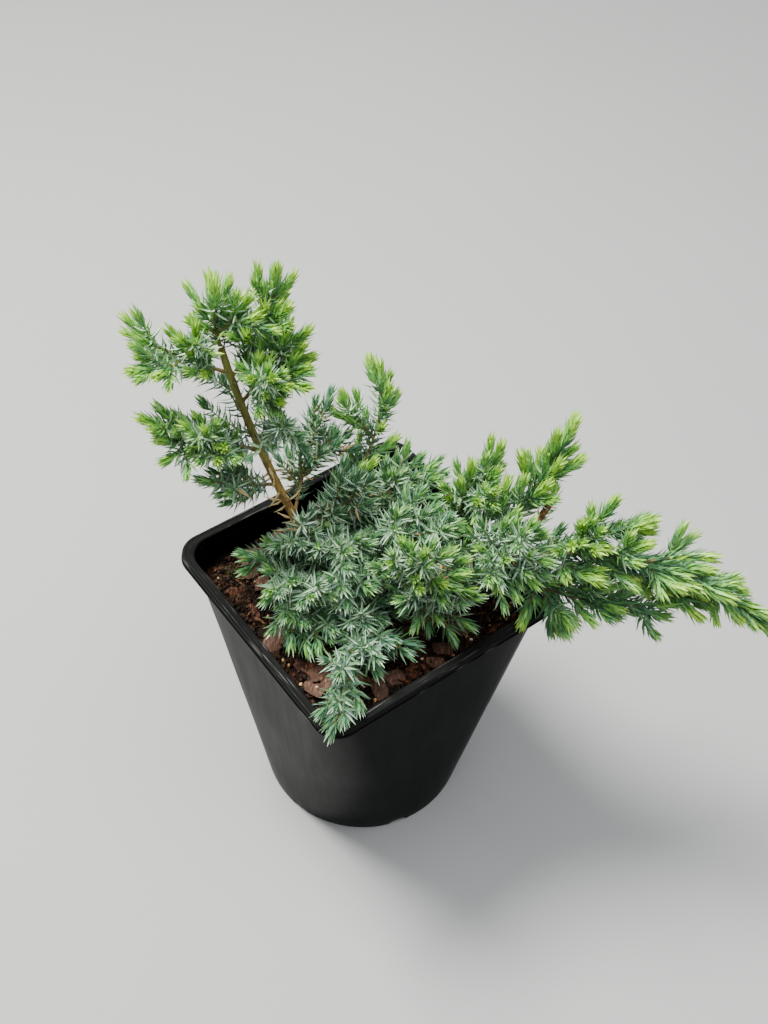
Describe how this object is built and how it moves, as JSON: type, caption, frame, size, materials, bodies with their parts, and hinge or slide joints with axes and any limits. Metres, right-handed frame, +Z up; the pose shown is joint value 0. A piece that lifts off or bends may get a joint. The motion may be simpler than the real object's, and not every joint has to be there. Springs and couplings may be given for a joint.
{
  "type": "potted juniper",
  "caption": "Young blue-green spreading juniper with an upright leader and a long arching side branch, planted in a black nursery pot with a square rim and a round base.",
  "frame": {"origin": "the middle of the pot's flat underside, on the ground", "axes": "+Z up, +X towards the tip of the long side branch, +Y towards the back of the plant; the pot's sides are turned by 37.8 degrees about +Z, so one corner of its rim points nearly along -Y"},
  "size_m": [0.3593, 0.2269, 0.3586],
  "materials": {
    "pot": "black satin plastic, scuffed grey on the rim",
    "potting_mix": "rough, moist bark chips and granules",
    "trunk_bark": "thin orange-brown bark, a little shiny",
    "bough_bark": "young yellow-green to brown bark",
    "foliage": "stiff needles, mid green outside and bluish white inside"
  },
  "bodies": {
    "root": {"pot": "pot", "potting_mix": "potting_mix", "trunk": "trunk_bark", "back_bough": "bough_bark", "back_right_bough": "bough_bark", "right_bough": "bough_bark", "right_arm": "bough_bark", "centre_back_bough": "bough_bark", "centre_bough": "bough_bark", "centre_low_bough": "bough_bark", "right_upper_bough": "bough_bark", "right_mid_bough": "bough_bark", "right_back_bough": "bough_bark", "right_low_bough": "bough_bark", "stub_bough": "bough_bark", "arm_upper_bough": "bough_bark", "front_bough": "bough_bark", "leader_top": "foliage", "leader_left": "foliage", "leader_right": "foliage", "leader_low_left": "foliage", "leader_front": "foliage", "leader_low": "foliage", "leader_rosette": "foliage", "back_left": "foliage", "mid_back": "foliage", "low_left": "foliage", "mid_left": "foliage", "mid_front": "foliage", "front_left": "foliage", "back_top": "foliage", "back_right": "foliage", "centre_back": "foliage", "centre": "foliage", "centre_low": "foliage", "right_upper": "foliage", "right_mid": "foliage", "right_back": "foliage", "right_low": "foliage", "stub_needles": "foliage", "arm_upper": "foliage", "arm_tip": "foliage", "front_drop": "foliage"}
  },
  "joints": []
}
